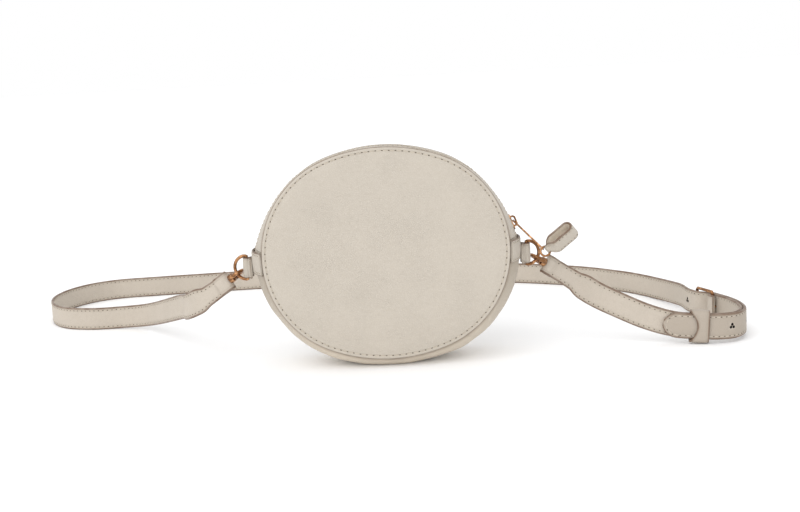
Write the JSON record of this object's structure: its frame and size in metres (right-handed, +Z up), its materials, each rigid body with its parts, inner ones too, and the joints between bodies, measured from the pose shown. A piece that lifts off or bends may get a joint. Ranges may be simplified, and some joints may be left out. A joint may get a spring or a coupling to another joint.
{
  "type": "mini crossbody bag",
  "caption": "Small oval leather shoulder bag standing upright, with a curved zip along its top, ring-and-hook side hardware and an adjustable buckled strap lying behind it.",
  "frame": {"origin": "middle of the flat patch that the bag stands on, on its mid-plane", "axes": "+Z up, the front panel faces -Y, +X to the right seen from the front; the strap lies behind, towards +Y"},
  "size_m": [0.5716, 0.3252, 0.158],
  "materials": {
    "leather": "pebbled, satin",
    "strap_leather": "pebbled, painted edges",
    "gold_metal": "polished",
    "zip_tape": "woven",
    "lining_fabric": "woven",
    "board": "plain"
  },
  "bodies": {
    "bag": {"front_panel": "leather", "back_panel": "leather", "front_board": "board", "back_board": "board", "lining": "lining_fabric", "inner_pocket": "lining_fabric", "gusset_lower": "leather", "gusset_top_front": "leather", "gusset_top_back": "leather", "zip_tape_front": "zip_tape", "zip_tape_back": "zip_tape", "zip_end_stop_right": "gold_metal", "zip_end_stop_left": "gold_metal", "side_patch_right": "leather", "side_patch_left": "leather"},
    "slider": {"zip_slider": "gold_metal"},
    "puller": {"zip_puller": "gold_metal"},
    "pull_ring": {"pull_ring": "gold_metal"},
    "pull": {"leather_pull": "leather"},
    "strap": {"ring_loop_right": "leather", "ring_loop_left": "leather", "strap_short": "strap_leather", "strap_long": "strap_leather", "buckle_frame": "gold_metal", "swivel_eye_right": "gold_metal", "swivel_eye_left": "gold_metal"},
    "ring_right": {"d_ring_right": "gold_metal"},
    "ring_left": {"d_ring_left": "gold_metal"},
    "hook_right": {"snap_hook_right": "gold_metal", "gate_pin_right": "gold_metal"},
    "hook_left": {"snap_hook_left": "gold_metal", "gate_pin_left": "gold_metal"},
    "gate_right": {"hook_gate_right": "gold_metal"},
    "gate_left": {"hook_gate_left": "gold_metal"},
    "prong": {"buckle_prong": "gold_metal"},
    "keeper": {"sliding_keeper": "strap_leather"}
  },
  "joints": [
    {"name": "zip_run", "type": "hinge", "parent": "bag", "child": "slider", "pos_m": [0, 0, 0.062], "axis": [0, -1, 0], "range_deg": [0, 139]},
    {"name": "zip_puller_lift", "type": "hinge", "parent": "slider", "child": "puller", "pos_m": [0.09175, 0, 0.096], "axis": [0, -1, 0], "range_deg": [0, 100]},
    {"name": "pull_ring_turn", "type": "hinge", "parent": "puller", "child": "pull_ring", "pos_m": [0.11238, -0.01065, 0.07464], "axis": [0.2344, 0.9413, -0.2427], "range_deg": [0, 60]},
    {"name": "leather_pull_swing", "type": "hinge", "parent": "pull_ring", "child": "pull", "pos_m": [0.11505, -0.01077, 0.07674], "axis": [-0.5751, 0.3356, 0.746], "range_deg": [-15, 15]},
    {"name": "strap_lift", "type": "hinge", "parent": "bag", "child": "strap", "pos_m": [0, 0, 0.0725], "axis": [1, 0, 0], "range_deg": [0, 100]},
    {"name": "ring_swing_right", "type": "hinge", "parent": "strap", "child": "ring_right", "pos_m": [0.10011, 0, 0.0725], "axis": [0, 0, 1], "range_deg": [-4, 4]},
    {"name": "ring_swing_left", "type": "hinge", "parent": "strap", "child": "ring_left", "pos_m": [-0.10011, 0, 0.0725], "axis": [0, 0, 1], "range_deg": [-4, 4]},
    {"name": "hook_turn_right", "type": "hinge", "parent": "strap", "child": "hook_right", "pos_m": [0.10641, 0.00193, 0.06887], "axis": [0.7928, 0.2424, -0.5592], "range_deg": [-6, 6]},
    {"name": "hook_turn_left", "type": "hinge", "parent": "strap", "child": "hook_left", "pos_m": [-0.10641, 0.00193, 0.06887], "axis": [-0.7928, 0.2424, -0.5592], "range_deg": [-6, 6]},
    {"name": "gate_open_right", "type": "hinge", "parent": "hook_right", "child": "gate_right", "pos_m": [0.10973, 0.00922, 0.06529], "axis": [0.5348, 0.1635, 0.829], "range_deg": [0, 16], "stiffness_Nm_per_rad": 0.002},
    {"name": "gate_open_left", "type": "hinge", "parent": "hook_left", "child": "gate_left", "pos_m": [-0.10973, 0.00922, 0.06529], "axis": [0.5348, -0.1635, -0.829], "range_deg": [0, 16], "stiffness_Nm_per_rad": 0.002},
    {"name": "prong_lift", "type": "hinge", "parent": "strap", "child": "prong", "pos_m": [0.25059, 0.06002, 0.0124], "axis": [0, 0, -1], "range_deg": [0, 6]},
    {"name": "keeper_slide", "type": "slide", "parent": "strap", "child": "keeper", "axis": [-0.979, 0.1967, 0.0534], "range_m": [0, 0.006]}
  ]
}
